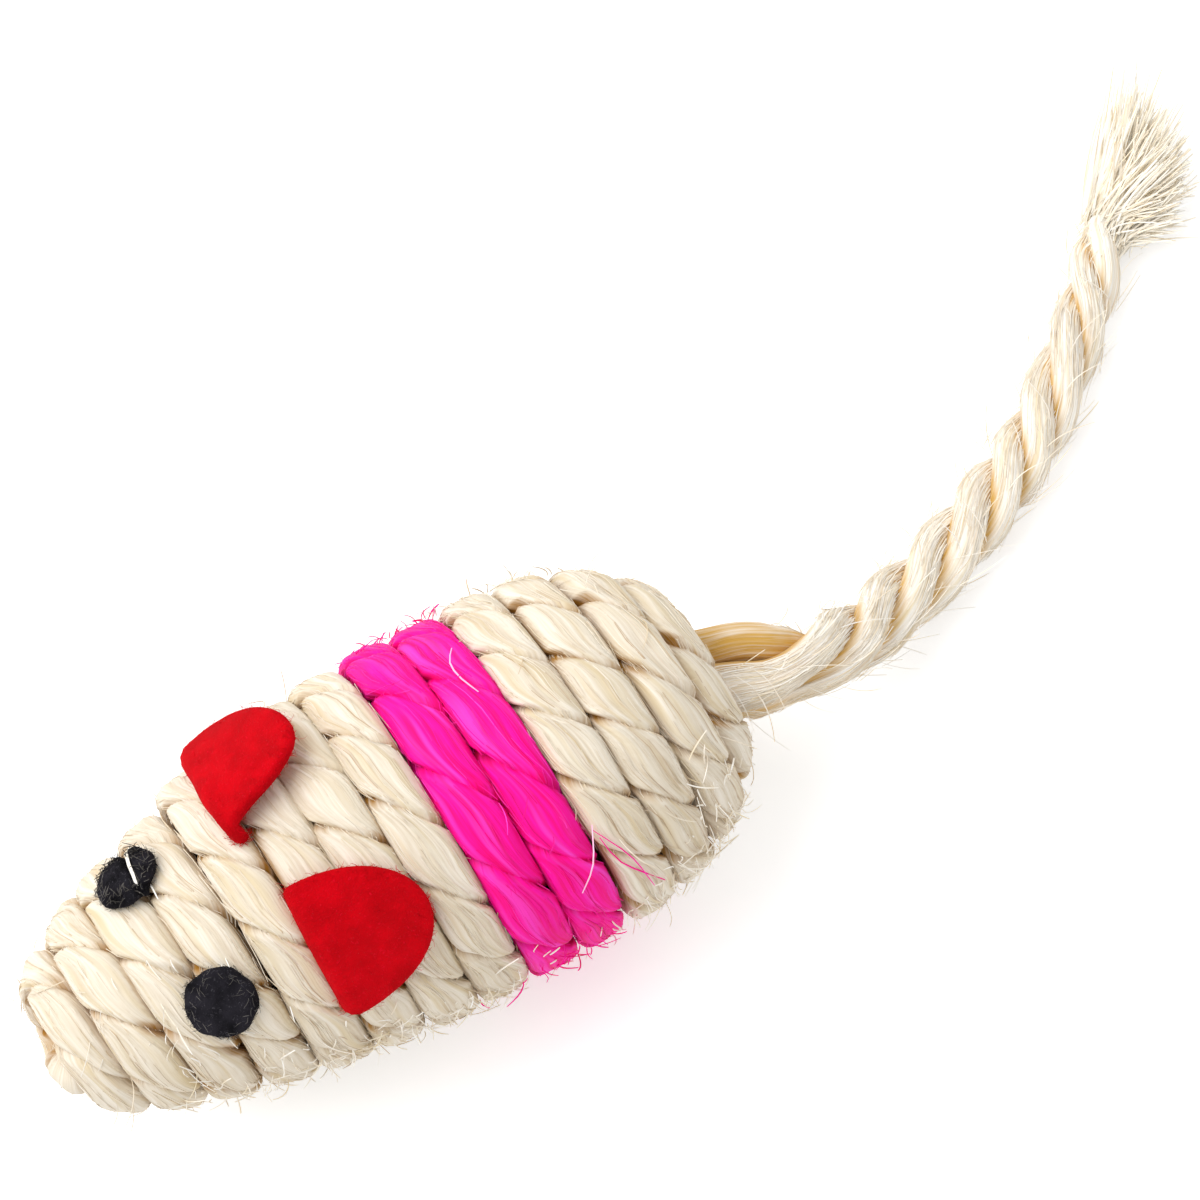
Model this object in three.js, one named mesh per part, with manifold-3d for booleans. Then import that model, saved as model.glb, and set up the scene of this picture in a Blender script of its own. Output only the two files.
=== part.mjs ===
// Sisal mouse: a moulded core wound with sisal twine, with felt ears and eyes and a tail of laid strands.
// The nose points to -X, the tail leaves at +X, Z is up and the mouse lies on the plane z = 0.
import * as THREE from 'three';
import { mergeVertices } from 'three/addons/utils/BufferGeometryUtils.js';
import Module from 'manifold-3d';

const wasm = await Module();
wasm.setup();

// Driving dimensions of the body, in millimetres, over the twine
const bodyDiameter = 34.4;
const noseReach = 47.1;
const rearReach = 26.5;
const noseCurveShares = { station: 2.2, radius: 0.43 };
const rearCurveShares = { station: 3, radius: 0.46 };
const flatDepth = 0.5;

// Twine and its turns
const twineDiameter = 4.8;
const turnClearance = 0.35;
const coreClearance = 0.4;
const buttClearance = 0.4;
const noseCoilClearance = 0.9;
const dyedTurns = 2;
const turnsToEarSlit = 3;

// Core and the socket that holds the tail
const socketDepth = 12;
const socketClearance = 0.3;
const socketWall = 1.2;

// Tail: a cord of three laid strands that ends in a brush
const tailDiameter = 6.2;
const tailCoilClearance = 0.75;
const tailPivotClearance = 0.3;
const brushLength = 13.5;
const brushClearance = 0.3;
const brushStartWidth = 4.8;
const brushEndWidth = 11;
const brushEndHeight = 6.6;
const brushBearing = 43;

// Felt ears, as cut flat, and how each one lies on the twine
const earWidth = 13;
const earDepth = 10.6;
const earThickness = 1.3;
const earCurveShares = { depth: 2.2, width: 0.5 };
const leftEar = { name: 'ear_left', angle: 31, clearance: 0.3, looseness: 1, roll: 0, lift: 0 };
const rightEar = { name: 'ear_right', angle: -34, clearance: 0.65, looseness: 7, roll: 5.5, lift: 10 };

// Felt eyes, placed by their way along the body from the ears' slit to the nose
const eyeDiameter = 6.6;
const eyeThickness = 1.2;
const eyeClearance = 0.3;
const leftEye = { name: 'eye_left', angle: 31, fromSlit: 9.2 };
const rightEye = { name: 'eye_right', angle: -28, fromSlit: 11.6 };

// The tail's route: its way back from the exit, its side step and its height over the floor
const tailRoute = [
  [2.6, -0.5, 16.6], [5.6, -1.7, 15.9], [8.9, -2.5, 14.1], [12.5, -2.3, 11.3], [16.1, -1.4, 8.3],
  [19.9, -0.2, 5.8], [23.8, 1.0, 4.0], [27.7, 2.3, 3.3], [31.8, 3.9, 3.12], [36.1, 5.8, 3.12],
  [40.4, 8.1, 3.12], [44.5, 10.8, 3.12], [48.3, 13.8, 3.12], [51.9, 16.8, 3.12], [55.1, 20, 3.12],
  [57.8, 23, 3.12], [59.7, 25.2, 3.12],
];

// Counts of facets
const stepsPerTurn = 24;
const twineSides = 6;
const profileSteps = 150;
const coreSides = 32;
const coreRings = 22;
const tailSides = 10;
const tailSteps = 34;
const roundingRings = 3;
const brushSides = 14;
const brushRings = 5;
const eyeSides = 24;
const edgePoints = 7;
const arcPoints = 17;
const flapRings = 4;

// What follows from the driving dimensions
const twineRadius = twineDiameter / 2;
const turnPitch = twineDiameter + turnClearance;
const windingRadius = bodyDiameter / 2 - twineRadius;
const axisHeight = bodyDiameter / 2 - flatDepth;
const tailRadius = tailDiameter / 2;
const noseCoilRadius = twineRadius + noseCoilClearance;
const rearCoilRadius = tailRadius + tailCoilClearance + twineRadius;

const material = (color, roughness) => new THREE.MeshStandardMaterial({ color, roughness, metalness: 0 });
const naturalTwine = 0xe9dfc6;
const dyedTwine = 0xf0128c;
const redFelt = 0xcf0f16;
const blackFelt = 0x1b1a1f;
const paperPulp = 0xb9a98c;

// Centre line of the twine seen from the side: radius over station, with the surface's arc length
function windingProfile() {
  const samples = [];
  for (let i = -profileSteps; i <= profileSteps; i += 1) {
    const reach = (i < 0 ? noseReach : rearReach) - twineRadius;
    const curve = i < 0 ? noseCurveShares : rearCurveShares;
    const share = Math.sin((Math.abs(i) / profileSteps) * (Math.PI / 2));
    const x = Math.sign(i) * reach * share;
    const r = windingRadius * (1 - share ** curve.station) ** curve.radius;
    samples.push({ x, r, arc: 0 });
  }
  for (let i = 1; i < samples.length; i += 1) {
    const run = samples[i].x - samples[i - 1].x;
    samples[i].arc = samples[i - 1].arc + Math.hypot(run, samples[i].r - samples[i - 1].r);
  }
  const widest = samples[profileSteps].arc;
  samples.forEach((sample, i) => {
    const before = samples[Math.max(i - 1, 0)];
    const after = samples[Math.min(i + 1, samples.length - 1)];
    const run = after.x - before.x;
    const rise = after.r - before.r;
    sample.normalX = -rise / Math.hypot(run, rise);
    sample.normalR = run / Math.hypot(run, rise);
    sample.arc -= widest;
  });
  return samples;
}
const profile = windingProfile();

// Station, radius and normal of the centre line at an arc length from the widest turn
function alongProfile(arc) {
  let i = 1;
  while (i < profile.length - 1 && profile[i].arc < arc) i += 1;
  const [a, b] = [profile[i - 1], profile[i]];
  const share = (arc - a.arc) / (b.arc - a.arc);
  const mix = (key) => a[key] + (b[key] - a[key]) * share;
  return { x: mix('x'), r: mix('r'), normalX: mix('normalX'), normalR: mix('normalR') };
}

// Arc length where the centre line has a radius, towards the nose or towards the tail
function arcAtRadius(radius, side) {
  const half = side < 0 ? profile.slice(0, profileSteps + 1).reverse() : profile.slice(profileSteps);
  const i = half.findIndex((sample) => sample.r < radius);
  const share = (half[i - 1].r - radius) / (half[i - 1].r - half[i].r);
  return half[i - 1].arc + (half[i].arc - half[i - 1].arc) * share;
}

// A point of the winding's helix and its outward direction, for a count of turns from the widest one
function helixPoint(turn) {
  const at = alongProfile(turn * turnPitch);
  const around = turn * 2 * Math.PI;
  const radial = new THREE.Vector3(0, Math.sin(around), -Math.cos(around));
  const point = radial.clone().multiplyScalar(at.r).add(new THREE.Vector3(at.x, 0, axisHeight));
  const outward = radial.multiplyScalar(at.normalR).add(new THREE.Vector3(at.normalX, 0, 0)).normalize();
  return { point, outward };
}

// A closed tube through rings of points, with flat ends
function tubeThrough(rings) {
  const sides = rings[0].length;
  const positions = rings.flat().flatMap((p) => [p.x, p.y, p.z]);
  const index = [];
  for (let i = 0; i < rings.length - 1; i += 1) {
    for (let k = 0; k < sides; k += 1) {
      const a = i * sides + k;
      const b = i * sides + ((k + 1) % sides);
      index.push(a, a + sides, b, b, a + sides, b + sides);
    }
  }
  const last = (rings.length - 1) * sides;
  for (let k = 1; k < sides - 1; k += 1) {
    index.push(0, k, k + 1);
    index.push(last, last + k + 1, last + k);
  }
  const geometry = new THREE.BufferGeometry();
  geometry.setAttribute('position', new THREE.Float32BufferAttribute(positions, 3));
  geometry.setIndex(index);
  return geometry;
}

// A ring of points round a centre, square to a tangent, with its first point on the outward side
function ringAt(centre, tangent, outward, halfHeight, halfWidth, sides) {
  const side = new THREE.Vector3().crossVectors(tangent, outward).normalize();
  const up = new THREE.Vector3().crossVectors(side, tangent).normalize();
  return Array.from({ length: sides }, (_, k) => {
    const angle = (2 * Math.PI * k) / sides;
    return centre.clone()
      .addScaledVector(up, halfHeight * Math.cos(angle))
      .addScaledVector(side, -halfWidth * Math.sin(angle));
  });
}

// One length of twine from one turn to another; its end steps are straight for a diameter
function windingRings(startTurn, endTurn) {
  const turns = [startTurn];
  const straight = twineDiameter / (2 * Math.PI * windingRadius);
  const first = Math.ceil((startTurn + straight) * stepsPerTurn);
  const last = Math.floor((endTurn - straight) * stepsPerTurn);
  for (let step = first; step <= last; step += 1) turns.push(step / stepsPerTurn);
  turns.push(endTurn);
  const nudge = 1 / (stepsPerTurn * stepsPerTurn);
  return turns.map((turn) => {
    const { point, outward } = helixPoint(turn);
    const tangent = helixPoint(turn + nudge).point.sub(helixPoint(turn - nudge).point).normalize();
    return ringAt(point, tangent, outward, twineRadius, twineRadius, twineSides);
  });
}

// The least gap between the turns of one length of twine, measured on the points of its rings
function leastGap(rings) {
  let least = Infinity;
  for (let i = 0; i < rings.length; i += 1) {
    for (let j = i + stepsPerTurn / 2; j < rings.length; j += 1) {
      for (const p of rings[i]) {
        for (const q of rings[j]) least = Math.min(least, p.distanceTo(q));
      }
    }
  }
  return least;
}

// Solids from geometries and back, for the cuts
function toSolid(geometry) {
  const bare = geometry.clone();
  bare.deleteAttribute('normal');
  bare.deleteAttribute('uv');
  const merged = mergeVertices(bare);
  const vertProperties = new Float32Array(merged.attributes.position.array);
  const triVerts = new Uint32Array(merged.index.array);
  return new wasm.Manifold(new wasm.Mesh({ numProp: 3, vertProperties, triVerts }));
}

function toGeometry(solid) {
  const mesh = solid.getMesh();
  const geometry = new THREE.BufferGeometry();
  geometry.setAttribute('position', new THREE.Float32BufferAttribute(Array.from(mesh.vertProperties), 3));
  geometry.setIndex(Array.from(mesh.triVerts));
  return geometry;
}

// What reaches below the floor is cut away, which leaves the turns their flat feet
function cutFlat(geometry) {
  const slab = new THREE.BoxGeometry(2 * (noseReach + rearReach), 2 * bodyDiameter, bodyDiameter);
  slab.translate(0, 0, -bodyDiameter / 2);
  return toGeometry(toSolid(geometry).subtract(toSolid(slab)));
}

const mouse = new THREE.Group();

function addPiece(name, geometry, color, roughness) {
  const piece = new THREE.Mesh(geometry, material(color, roughness));
  piece.name = name;
  mouse.add(piece);
  return piece;
}

// Windings: natural twine from the nose, two dyed turns at the widest place, natural twine to the tail
const buttTurn = buttClearance / (2 * Math.PI * windingRadius) / 2;
const dyedHalf = dyedTurns / 2;
const noseTurn = arcAtRadius(noseCoilRadius, -1) / turnPitch;
const rearTurn = arcAtRadius(rearCoilRadius, 1) / turnPitch;
const windings = [
  ['front_winding', noseTurn, -dyedHalf - buttTurn, naturalTwine],
  ['pink_band', -dyedHalf + buttTurn, dyedHalf - buttTurn, dyedTwine],
  ['rear_winding', dyedHalf + buttTurn, rearTurn, naturalTwine],
];
for (const [name, startTurn, endTurn, color] of windings) {
  const rings = windingRings(startTurn, endTurn);
  const turnCount = (endTurn - startTurn).toFixed(1);
  console.log(`${name}: ${turnCount} turns, least gap ${leastGap(rings).toFixed(2)} mm`);
  addPiece(name, cutFlat(tubeThrough(rings)), color, 0.9);
}

// Tail socket and exit, from the last turn
const rearCoil = alongProfile(rearTurn * turnPitch);
const exit = new THREE.Vector3(rearCoil.x + twineRadius, 0, axisHeight);
const socketRadius = tailRadius + socketClearance;
const rimRadius = socketRadius + socketWall;
const rearFace = rearCoil.x - twineRadius - coreClearance;

// Core: turned form inside the twine, its nose closed, its rear face bored for the tail
function coreGeometry() {
  const offset = twineRadius + coreClearance;
  const skin = [];
  for (let i = 0; i <= coreRings; i += 1) {
    const share = i / coreRings;
    const arc = arcAtRadius(offset, -1) * (1 - share) + rearTurn * turnPitch * share;
    const at = alongProfile(arc);
    const x = at.x - at.normalX * offset;
    const r = at.r - at.normalR * offset;
    if (r > rimRadius && x < rearFace) skin.push([r, x]);
  }
  const noseTip = alongProfile(profile[0].arc).x + offset;
  const outline = [[0, noseTip], ...skin, [rimRadius, rearFace], [socketRadius, rearFace]];
  outline.push([socketRadius, rearFace - socketDepth], [0, rearFace - socketDepth]);
  const turned = new THREE.LatheGeometry(outline.map(([r, x]) => new THREE.Vector2(r, x)), coreSides);
  return turned.rotateZ(-Math.PI / 2).translate(0, 0, axisHeight);
}
addPiece('core', coreGeometry(), paperPulp, 0.95);

// Tail root: the bundle of strands glued in the socket, which ends just short of the moving tail
const rootEnd = exit.x - tailRadius - tailPivotClearance;
const rootLength = rootEnd - (rearFace - socketDepth) - socketClearance;
const root = new THREE.CylinderGeometry(tailRadius, tailRadius, rootLength, coreSides);
root.rotateZ(-Math.PI / 2).translate(rootEnd - rootLength / 2, 0, axisHeight);
addPiece('tail_root', root, naturalTwine, 0.9);

// Tail: a round start about its pivot at the exit, then one tube along its route
const tailPoints = tailRoute.map(([back, aside, height]) => new THREE.Vector3(exit.x + back, aside, height));
const tailCurve = new THREE.CatmullRomCurve3([exit, ...tailPoints], false, 'centripetal');
const upward = new THREE.Vector3(0, 0, 1);

function tailGeometry() {
  const rings = [];
  const startTangent = tailCurve.getTangentAt(0);
  for (let i = roundingRings; i > 0; i -= 1) {
    const angle = ((i - 0.5) / roundingRings) * (Math.PI / 2);
    const centre = exit.clone().addScaledVector(startTangent, -tailRadius * Math.sin(angle));
    const radius = tailRadius * Math.cos(angle);
    rings.push(ringAt(centre, startTangent, upward, radius, radius, tailSides));
  }
  for (let i = 0; i <= tailSteps; i += 1) {
    const share = i / tailSteps;
    const tangent = tailCurve.getTangentAt(share);
    rings.push(ringAt(tailCurve.getPointAt(share), tangent, upward, tailRadius, tailRadius, tailSides));
  }
  return tubeThrough(rings);
}
addPiece('tail', tailGeometry(), naturalTwine, 0.9);

// Brush: the loose ends of the three strands, which spread flat on the floor
function brushGeometry() {
  const tailEnd = tailCurve.getPointAt(1);
  const tangent = tailCurve.getTangentAt(1);
  const bearing = THREE.MathUtils.degToRad(brushBearing);
  const spread = new THREE.Vector3(Math.cos(bearing), Math.sin(bearing), 0);
  const rings = [];
  for (let i = 0; i < brushRings; i += 1) {
    const share = i / (brushRings - 1);
    const halfWidth = THREE.MathUtils.lerp(brushStartWidth, brushEndWidth, share ** 1.5) / 2;
    const halfHeight = THREE.MathUtils.lerp(brushStartWidth, brushEndHeight, share) / 2;
    const heading = tangent.clone().lerp(spread, share).normalize();
    const way = tangent.clone().lerp(spread, share / 2).normalize();
    const centre = tailEnd.clone().addScaledVector(way, brushClearance + brushLength * share);
    centre.z = halfHeight;
    rings.push(ringAt(centre, heading, upward, halfHeight, halfWidth, brushSides));
  }
  return tubeThrough(rings);
}
addPiece('tail_tuft', brushGeometry(), naturalTwine, 0.9);

// The frame of a place on the twine's outer skin: its point and the directions round, back and outward
function skinFrame(arc, angleDegrees, clearance) {
  const at = alongProfile(arc);
  const angle = THREE.MathUtils.degToRad(angleDegrees);
  const radial = new THREE.Vector3(0, -Math.sin(angle), Math.cos(angle));
  const lift = twineRadius + clearance;
  const outward = radial.clone().multiplyScalar(at.normalR).setX(at.normalX).normalize();
  const radius = at.r + at.normalR * lift;
  const onAxis = new THREE.Vector3(at.x + at.normalX * lift, 0, axisHeight);
  const point = radial.clone().multiplyScalar(radius).add(onAxis);
  const back = radial.clone().multiplyScalar(-at.normalX).setX(at.normalR).normalize();
  const round = new THREE.Vector3().crossVectors(back, outward);
  return { point, round, back, outward, radius };
}

// The flat outline of an ear: a straight edge that is tucked in the slit and a round lobe behind it
function earOutline() {
  const outline = [];
  for (let i = 0; i < edgePoints; i += 1) outline.push([earWidth * (i / (edgePoints - 1) - 1 / 2), 0]);
  for (let i = 1; i <= arcPoints; i += 1) {
    const turn = Math.PI * (i / (arcPoints + 1));
    const back = earDepth * Math.sin(turn);
    const share = (1 - Math.sin(turn) ** earCurveShares.depth) ** earCurveShares.width;
    outline.push([Math.sign(Math.cos(turn)) * (earWidth / 2) * share, back]);
  }
  return outline;
}

// A sheet of felt inside an outline, bent round the direction that runs back
function earGeometry(bendRadius) {
  const outline = earOutline();
  const centre = [0, earDepth / 2];
  const positions = [];
  const index = [];
  const bend = (u, v, w) => {
    const angle = u / bendRadius;
    positions.push((bendRadius + w) * Math.sin(angle), v, (bendRadius + w) * Math.cos(angle) - bendRadius);
  };
  for (const w of [earThickness / 2, -earThickness / 2]) {
    bend(centre[0], centre[1], w);
    for (let ring = 1; ring <= flapRings; ring += 1) {
      const share = ring / flapRings;
      for (const [u, v] of outline) bend(u * share, centre[1] + (v - centre[1]) * share, w);
    }
  }
  const count = outline.length;
  const layer = 1 + flapRings * count;
  for (let k = 0; k < count; k += 1) {
    const next = (k + 1) % count;
    index.push(0, 1 + k, 1 + next);
    index.push(layer, layer + 1 + next, layer + 1 + k);
    for (let ring = 0; ring < flapRings - 1; ring += 1) {
      const a = 1 + ring * count + k;
      const b = 1 + ring * count + next;
      index.push(a, a + count, b, b, a + count, b + count);
      index.push(layer + a, layer + b, layer + a + count, layer + b, layer + b + count, layer + a + count);
    }
    const rim = 1 + (flapRings - 1) * count;
    index.push(rim + k, layer + rim + k, rim + next, rim + next, layer + rim + k, layer + rim + next);
  }
  const geometry = new THREE.BufferGeometry();
  geometry.setAttribute('position', new THREE.Float32BufferAttribute(positions, 3));
  geometry.setIndex(index);
  return geometry;
}

// Ears: each turns about its tucked edge, which lies over the slit between two turns
const slitArc = -(dyedHalf + turnsToEarSlit) * turnPitch;
for (const ear of [leftEar, rightEar]) {
  const rest = skinFrame(slitArc + earDepth / 2, ear.angle, ear.clearance + earThickness / 2);
  const hinge = rest.point.clone().addScaledVector(rest.back, -earDepth / 2);
  const basis = new THREE.Matrix4().makeBasis(rest.round, rest.back, rest.outward);
  basis.multiply(new THREE.Matrix4().makeRotationY(-THREE.MathUtils.degToRad(ear.roll)));
  basis.multiply(new THREE.Matrix4().makeRotationX(THREE.MathUtils.degToRad(ear.lift)));
  const piece = addPiece(ear.name, earGeometry(rest.radius + ear.looseness), redFelt, 1);
  piece.position.copy(hinge);
  piece.quaternion.setFromRotationMatrix(basis);
}

// Eyes: round felt discs glued on the crests of the turns
for (const eye of [leftEye, rightEye]) {
  const rest = skinFrame(slitArc - eye.fromSlit, eye.angle, eyeClearance + eyeThickness / 2);
  const disc = new THREE.CylinderGeometry(eyeDiameter / 2, eyeDiameter / 2, eyeThickness, eyeSides);
  const piece = addPiece(eye.name, disc.rotateX(Math.PI / 2), blackFelt, 1);
  piece.position.copy(rest.point);
  piece.quaternion.setFromRotationMatrix(new THREE.Matrix4().makeBasis(rest.round, rest.back, rest.outward));
}

export default mouse;
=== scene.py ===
import bpy
import numpy as np
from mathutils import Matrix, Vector


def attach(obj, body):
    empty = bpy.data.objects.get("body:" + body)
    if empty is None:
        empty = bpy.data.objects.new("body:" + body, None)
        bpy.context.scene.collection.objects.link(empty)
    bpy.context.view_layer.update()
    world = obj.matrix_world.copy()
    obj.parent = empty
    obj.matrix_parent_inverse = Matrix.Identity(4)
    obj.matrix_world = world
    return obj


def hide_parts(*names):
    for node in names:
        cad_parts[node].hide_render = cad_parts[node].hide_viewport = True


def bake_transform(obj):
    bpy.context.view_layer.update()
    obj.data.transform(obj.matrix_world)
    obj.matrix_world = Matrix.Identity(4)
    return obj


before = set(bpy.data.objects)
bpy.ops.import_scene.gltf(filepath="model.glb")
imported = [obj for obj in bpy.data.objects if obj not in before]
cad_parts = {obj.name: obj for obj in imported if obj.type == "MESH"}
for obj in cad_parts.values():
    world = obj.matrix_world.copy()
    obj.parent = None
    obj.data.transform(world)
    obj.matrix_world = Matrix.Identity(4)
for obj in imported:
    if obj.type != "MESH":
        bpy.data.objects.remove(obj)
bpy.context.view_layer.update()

# Camera: the photograph looks down at 74 degrees from the nose's near side, through a long lens,
# and frames the toy edge to edge on its square.
camera_target = Vector((0.0197, 0.0127, 0.0115))
camera_distance = 0.36
azimuth, elevation = np.radians(28.9), np.radians(74.0)
towards_camera = Vector((
    -np.sin(azimuth) * np.cos(elevation),
    -np.cos(azimuth) * np.cos(elevation),
    np.sin(elevation),
))
camera_data = bpy.data.cameras.new("camera")
camera_data.lens = 112.6
camera_data.sensor_width = 36.0
camera = bpy.data.objects.new("camera", camera_data)
camera.location = camera_target + camera_distance * towards_camera
camera.rotation_euler = (-towards_camera).to_track_quat("-Z", "Y").to_euler()
bpy.context.collection.objects.link(camera)
bpy.context.scene.camera = camera
bpy.context.scene.view_settings.view_transform = "Standard"


# Studio: a white sweep of paper under the toy, a broad softbox from the nose's far side and even
# white light from all round, as in a packshot.
def linear(code):
    """The linear colour of an sRGB hex code, with an alpha of one."""
    share = np.array([int(code[i:i + 2], 16) for i in (1, 3, 5)]) / 255
    low = share / 12.92
    high = ((share + 0.055) / 1.055) ** 2.4
    return (*np.where(share <= 0.04045, low, high), 1.0)


def add(tree, kind, inputs=None, **settings):
    """Adds one node with its settings; inputs gives each socket a value or another node's output."""
    made = tree.nodes.new(kind)
    for key, value in settings.items():
        setattr(made, key, value)
    for socket, value in (inputs or {}).items():
        if isinstance(value, bpy.types.NodeSocket):
            tree.links.new(value, made.inputs[socket])
        else:
            made.inputs[socket].default_value = value
    return made


def seen_directly(tree):
    """One for rays that show the surroundings, straight, in gloss or through glass, else zero."""
    path = add(tree, "ShaderNodeLightPath")
    gloss = add(tree, "ShaderNodeMath", {
        0: path.outputs["Is Camera Ray"], 1: path.outputs["Is Glossy Ray"]}, operation="MAXIMUM")
    return add(tree, "ShaderNodeMath", {
        0: gloss.outputs[0], 1: path.outputs["Is Transmission Ray"]}, operation="MAXIMUM").outputs[0]


world = bpy.data.worlds.new("white studio")
bpy.context.scene.world = world
world.use_nodes = True
tree = world.node_tree
tree.nodes.clear()
room = add(tree, "ShaderNodeBackground", {"Color": linear("#FFFFFF"), "Strength": 0.79})
shown = add(tree, "ShaderNodeBackground", {"Color": linear("#FFFFFF"), "Strength": 1.0})
sky = add(tree, "ShaderNodeMixShader", {0: seen_directly(tree), 1: room.outputs[0], 2: shown.outputs[0]})
add(tree, "ShaderNodeOutputWorld", {"Surface": sky.outputs[0]})

softbox_data = bpy.data.lights.new("softbox", "AREA")
softbox_data.shape = "SQUARE"
softbox_data.size = 0.7
softbox_data.energy = 4.9
softbox = bpy.data.objects.new("softbox", softbox_data)
softbox.location = (-0.34, 0.34, 0.62)
softbox.rotation_euler = (softbox.location - Vector((0.02, 0.0, 0.0))).to_track_quat("Z", "Y").to_euler()
bpy.context.collection.objects.link(softbox)

paper = bpy.data.materials.new("white studio paper")
paper.use_nodes = True
tree = paper.node_tree
surface = tree.nodes["Principled BSDF"]
surface.inputs["Base Color"].default_value = linear("#F7F7F7")
surface.inputs["Roughness"].default_value = 0.9
surface.inputs["Specular IOR Level"].default_value = 0.1
glow = add(tree, "ShaderNodeEmission", {"Color": linear("#FFFFFF"), "Strength": 0.335})
nothing = add(tree, "ShaderNodeEmission", {"Strength": 0.0})
lift = add(tree, "ShaderNodeMixShader", {0: seen_directly(tree), 1: nothing.outputs[0], 2: glow.outputs[0]})
lit = add(tree, "ShaderNodeAddShader", {0: surface.outputs[0], 1: lift.outputs[0]})
tree.links.new(lit.outputs[0], tree.nodes["Material Output"].inputs["Surface"])
floor_data = bpy.data.meshes.new("studio_floor")
floor_data.from_pydata([(-3, -3, 0), (3, -3, 0), (3, 3, 0), (-3, 3, 0)], [], [(0, 1, 2, 3)])
floor_data.materials.append(paper)
studio_floor = bpy.data.objects.new("studio_floor", floor_data)
studio_floor.location.z = -0.0001
bpy.context.collection.objects.link(studio_floor)


# Tail: three strands of sisal laid to a soft cord, about 20 mm to a full turn, which droops from the
# body to the floor. The strands part where they leave the body.
MM = 0.001


def along(points, step):
    """A smooth line through points: Catmull-Rom pieces, read off again every step of its length."""
    points = np.asarray(points, float)
    ends = np.vstack([2 * points[0] - points[1], points, 2 * points[-1] - points[-2]])
    at = np.linspace(0, len(points) - 1, 60 * len(points))
    i = np.minimum(at.astype(int), len(points) - 2)
    t = (at - i)[:, None]
    a, b, c, d = ends[i], ends[i + 1], ends[i + 2], ends[i + 3]
    line = 0.5 * (2 * b + (c - a) * t + (2 * a - 5 * b + 4 * c - d) * t**2 + (3 * b - a - 3 * c + d) * t**3)
    way = np.concatenate([[0], np.cumsum(np.linalg.norm(np.diff(line, axis=0), axis=1))])
    marks = np.linspace(0, way[-1], max(int(round(way[-1] / step)), 2) + 1)
    return np.stack([np.interp(marks, way, line[:, k]) for k in range(3)], axis=1)


def unit(vectors):
    """Vectors scaled to a length of one."""
    return vectors / np.maximum(np.linalg.norm(vectors, axis=-1, keepdims=True), 1e-12)


def smooth(share):
    """Zero to one with a level start and end: 3 s^2 - 2 s^3, held outside 0..1."""
    s = np.clip(share, 0, 1)
    return s * s * (3 - 2 * s)


def fibre_heights(rows, columns, spacing, rng):
    """Heights of a strand's fibres: every column has its own random numbers, spacing rows apart and
    joined by smooth steps, so a fibre keeps its height for a while and its neighbours differ."""
    knots = rng.standard_normal((rows // spacing + 3, columns))
    at = np.arange(rows)[:, None] / spacing + rng.random(columns)
    i = at.astype(int)
    each = np.arange(columns)
    return knots[i, each] + (knots[i + 1, each] - knots[i, each]) * smooth(at - i)


def strand(centre, across, up, half_across, half_up, turning, rng, step, ridge=0.08):
    """A strand's skin round its centre line: centre + cos(a) half_across across + sin(a) half_up up.
    A fibre stands at the angle a = its own + turning, so the ridges and fibre coordinates are read
    off at a - turning. Returns the rings, the fibre coordinates and how deep each fibre lies."""
    rows, columns = len(centre), 38
    column = np.linspace(0, 2 * np.pi, columns, endpoint=False)
    own = column - turning[:, None]

    def read(count, spacing):
        """The heights of count fibres, read off between them round every ring."""
        heights = fibre_heights(rows, count, int(spacing / step), rng)
        at = own / (2 * np.pi) * count
        i = np.floor(at).astype(int)
        row = np.arange(rows)[:, None]
        this, following = heights[row, i % count], heights[row, (i + 1) % count]
        return this + (at - i) * (following - this)

    fine = read(count=24, spacing=7)
    height = ridge * fine + 0.08 * read(count=6, spacing=16)
    rings = (
        centre[:, None]
        + (np.cos(column) * (half_across[:, None] + height))[..., None] * across[:, None]
        + (np.sin(column) * (half_up[:, None] + height))[..., None] * up[:, None]
    )
    length = np.arange(rows)[:, None] * step + 1000 * rng.random() + 0 * own
    pattern_radius = 1.5
    fibre = np.stack([pattern_radius * np.cos(own), pattern_radius * np.sin(own), length], axis=-1)
    return rings, fibre, np.clip(-0.45 * fine, 0, 1)


def tubes(name, rings, material, **values):
    """One mesh of closed tubes from rings of points, shaped (tubes, rings, points round, 3), in mm:
    quads between the rings, a flat cap on both ends, and values as attributes of the points."""
    count, rows, columns = rings.shape[:3]
    at = np.arange(count * rows * columns).reshape(count, rows, columns)
    a, b = at[:, :-1], at[:, 1:]
    sides = np.stack([a, np.roll(a, -1, 2), np.roll(b, -1, 2), b], axis=-1).reshape(-1)
    caps = np.stack([at[:, 0, ::-1], at[:, -1]], axis=1).reshape(-1)
    quads = count * (rows - 1) * columns
    totals = np.concatenate([np.full(quads, 4), np.full(2 * count, columns)])
    mesh = bpy.data.meshes.new(name)
    mesh.vertices.add(at.size)
    mesh.vertices.foreach_set("co", (rings * MM).ravel())
    mesh.loops.add(len(sides) + len(caps))
    mesh.loops.foreach_set("vertex_index", np.concatenate([sides, caps]))
    mesh.polygons.add(len(totals))
    mesh.polygons.foreach_set("loop_start", np.concatenate([[0], np.cumsum(totals)[:-1]]))
    mesh.polygons.foreach_set("use_smooth", np.full(len(totals), columns > 3))
    for key, value in values.items():
        vector = value.ndim == 4
        layer = mesh.attributes.new(key, "FLOAT_VECTOR" if vector else "FLOAT", "POINT")
        numbers = np.ascontiguousarray(value, float).ravel()
        layer.data.foreach_set("vector" if vector else "value", numbers)
    mesh.update(calc_edges=True)
    mesh.materials.append(material)
    piece = bpy.data.objects.new(name, mesh)
    bpy.context.collection.objects.link(piece)
    return piece


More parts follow.
